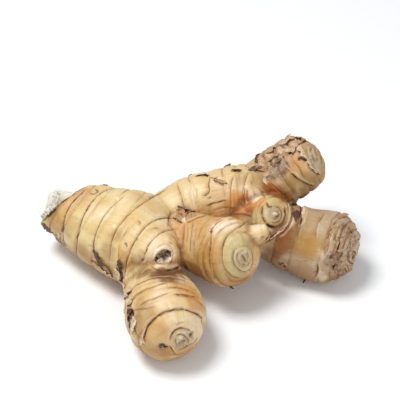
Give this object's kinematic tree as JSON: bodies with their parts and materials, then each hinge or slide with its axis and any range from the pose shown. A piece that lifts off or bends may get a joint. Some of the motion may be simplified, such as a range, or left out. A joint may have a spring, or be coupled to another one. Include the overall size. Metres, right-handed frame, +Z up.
{
  "type": "ginger root",
  "caption": "Fresh ginger rhizome of stubby branching lobes with ring-shaped leaf scars, young buds and one torn end, lying on its underside.",
  "frame": {"origin": "centre of the footprint box, on the surface that the root rests on", "axes": "+X along the longest extent, from the torn stump towards the right lobe; +Y towards the back, away from the front lobe; +Z up from the surface"},
  "size_m": [0.1304, 0.0922, 0.0492],
  "materials": {
    "ginger_skin": "thin dry papery skin, satin, tan to cream with brown rings"
  },
  "bodies": {
    "root": {"ginger_root": "ginger_skin"}
  },
  "joints": []
}
